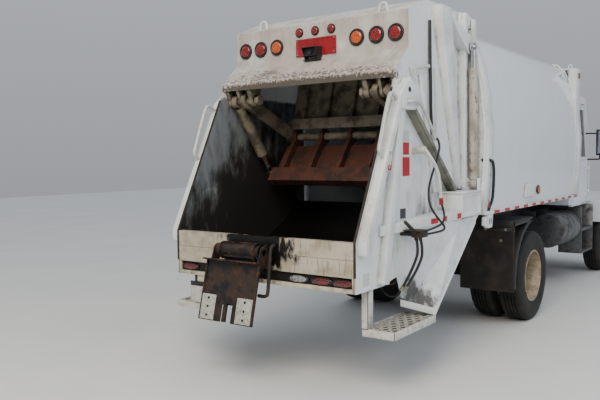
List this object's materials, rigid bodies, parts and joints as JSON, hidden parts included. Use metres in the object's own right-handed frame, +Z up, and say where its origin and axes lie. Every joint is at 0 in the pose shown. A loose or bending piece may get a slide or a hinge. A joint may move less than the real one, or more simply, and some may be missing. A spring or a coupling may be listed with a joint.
{
  "type": "rear-loading garbage truck",
  "caption": "Two-axle rear-loading refuse truck with a smooth curved body, a lifting tailgate with packer and cart lifter, opening doors, tilting hood, steering and turning wheels.",
  "frame": {"origin": "centre of the footprint at ground level", "axes": "+X forward, +Y left, +Z up"},
  "size_m": [8.89, 2.66, 3.2999],
  "materials": {
    "white_paint": "gloss",
    "hopper_paint": "matte",
    "chassis_black": "satin",
    "tank_metal": "satin",
    "step_steel": "matte",
    "cast_parts": "matte",
    "rod_chrome": "gloss",
    "tyre_rubber": "matte",
    "hose_rubber": "satin",
    "black_plastic": "matte",
    "red_lens": "gloss",
    "amber_lens": "gloss",
    "clear_lens": "gloss",
    "window_glass": "gloss",
    "cab_trim": "matte",
    "wheel_beige": "satin"
  },
  "bodies": {
    "chassis": {"chassis_frame": "chassis_black", "frame_crossmembers": "chassis_black", "rear_axle": "cast_parts", "front_axle": "cast_parts", "engine_block": "cast_parts", "fuel_tanks": "tank_metal", "rear_fenders": "black_plastic", "cab_shell": "white_paint", "cab_glass": "window_glass", "cab_interior": "cab_trim", "front_bumper": "chassis_black", "body_shell": "white_paint", "body_frames": "white_paint", "body_sills": "white_paint", "side_lamps": "amber_lens"},
    "ejector": {"ejector_panel": "hopper_paint"},
    "left_door": {"door_left": "white_paint", "door_glass_left": "window_glass", "mirror_left": "black_plastic"},
    "right_door": {"door_right": "white_paint", "door_glass_right": "window_glass", "mirror_right": "black_plastic"},
    "hood_unit": {"hood": "white_paint", "grille": "black_plastic", "headlamps": "clear_lens"},
    "left_knuckle": {"knuckle_left": "cast_parts"},
    "right_knuckle": {"knuckle_right": "cast_parts"},
    "front_left_wheel": {"tyre_front_left": "tyre_rubber", "rim_front_left": "wheel_beige"},
    "front_right_wheel": {"tyre_front_right": "tyre_rubber", "rim_front_right": "wheel_beige"},
    "rear_left_wheels": {"tyres_rear_left": "tyre_rubber", "rims_rear_left": "wheel_beige"},
    "rear_right_wheels": {"tyres_rear_right": "tyre_rubber", "rims_rear_right": "wheel_beige"},
    "tailgate": {"tailgate_shell": "white_paint", "hopper_trough": "hopper_paint", "tailgate_frames": "white_paint", "wing_plates": "white_paint", "header_fittings": "black_plastic", "red_lamps": "red_lens", "amber_lamps": "amber_lens", "grab_rails": "white_paint", "rear_steps": "step_steel", "lifter_mount": "cast_parts", "hydraulic_lines": "white_paint", "hydraulic_hoses": "hose_rubber"},
    "cart_lifter": {"lifter_face": "hopper_paint"},
    "carrier": {"packer_carrier": "hopper_paint"},
    "blade": {"packer_blade": "hopper_paint"},
    "pack_cylinders": {"pack_barrels": "hopper_paint"},
    "pack_cylinder_rods": {"pack_rods": "rod_chrome"},
    "lift_cylinders": {"lift_barrels": "white_paint"},
    "lift_cylinder_rods": {"lift_rods": "rod_chrome"}
  },
  "joints": [
    {"name": "rear_left_wheel_spin", "type": "hinge", "parent": "chassis", "child": "rear_left_wheels", "pos_m": [-0.612, 0.92, 0.516], "axis": [0, 1, 0], "continuous": true},
    {"name": "rear_right_wheel_spin", "type": "hinge", "parent": "chassis", "child": "rear_right_wheels", "pos_m": [-0.612, -0.92, 0.516], "axis": [0, 1, 0], "continuous": true},
    {"name": "left_steering", "type": "hinge", "parent": "chassis", "child": "left_knuckle", "pos_m": [3.505, 0.88, 0.516], "axis": [0, 0, 1], "range_deg": [-32, 32]},
    {"name": "right_steering", "type": "hinge", "parent": "chassis", "child": "right_knuckle", "pos_m": [3.505, -0.88, 0.516], "axis": [0, 0, 1], "range_deg": [-32, 32]},
    {"name": "front_left_wheel_spin", "type": "hinge", "parent": "left_knuckle", "child": "front_left_wheel", "pos_m": [3.505, 1, 0.516], "axis": [0, 1, 0], "continuous": true},
    {"name": "front_right_wheel_spin", "type": "hinge", "parent": "right_knuckle", "child": "front_right_wheel", "pos_m": [3.505, -1, 0.516], "axis": [0, 1, 0], "continuous": true},
    {"name": "left_door_hinge", "type": "hinge", "parent": "chassis", "child": "left_door", "pos_m": [2.809, 1.013, 1.9], "axis": [0, 0, -1], "range_deg": [0, 70]},
    {"name": "right_door_hinge", "type": "hinge", "parent": "chassis", "child": "right_door", "pos_m": [2.809, -1.013, 1.9], "axis": [0, 0, 1], "range_deg": [0, 70]},
    {"name": "hood_tilt", "type": "hinge", "parent": "chassis", "child": "hood_unit", "pos_m": [4.255, 0, 0.81], "axis": [0, 1, 0], "range_deg": [0, 62]},
    {"name": "tailgate_hinge", "type": "hinge", "parent": "chassis", "child": "tailgate", "pos_m": [-1.995, 0, 3.215], "axis": [0, 1, 0], "range_deg": [0, 85]},
    {"name": "ejector_slide", "type": "slide", "parent": "chassis", "child": "ejector", "axis": [-1, 0, 0], "range_m": [0, 2.8]},
    {"name": "lifter_swing", "type": "hinge", "parent": "tailgate", "child": "cart_lifter", "pos_m": [-4.23, 0.13, 1.13], "axis": [0, 1, 0], "range_deg": [0, 135]},
    {"name": "carrier_swing", "type": "hinge", "parent": "tailgate", "child": "carrier", "pos_m": [-3.395, 0, 2.47], "axis": [0, 1, 0], "range_deg": [0, 42]},
    {"name": "blade_swing", "type": "hinge", "parent": "carrier", "child": "blade", "pos_m": [-2.625, 0, 2.13], "axis": [0, -1, 0], "range_deg": [-8, 60]},
    {"name": "pack_cylinder_swing", "type": "hinge", "parent": "carrier", "child": "pack_cylinders", "pos_m": [-3.395, 0, 2.47], "axis": [0, -1, 0], "range_deg": [-10, 40]},
    {"name": "pack_rod_slide", "type": "slide", "parent": "pack_cylinders", "child": "pack_cylinder_rods", "axis": [0.5855, 0, -0.8107], "range_m": [-0.1, 0.5]},
    {"name": "lift_cylinder_swing", "type": "hinge", "parent": "chassis", "child": "lift_cylinders", "pos_m": [-2.135, 0, 1.64], "axis": [0, -1, 0], "range_deg": [0, 12]},
    {"name": "lift_rod_slide", "type": "slide", "parent": "lift_cylinders", "child": "lift_cylinder_rods", "axis": [-0.0265, 0, 0.9996], "range_m": [0, 0.46]}
  ],
  "couplings": [
    {"joint": "right_steering", "follows": "left_steering", "ratio": 1},
    {"joint": "lift_cylinder_swing", "follows": "tailgate_hinge", "ratio": 0.0687},
    {"joint": "lift_rod_slide", "follows": "tailgate_hinge", "m_per_rad": 0.2718},
    {"joint": "pack_cylinder_swing", "follows": "blade_swing", "ratio": 0.2613},
    {"joint": "pack_rod_slide", "follows": "blade_swing", "m_per_rad": 0.3528}
  ]
}
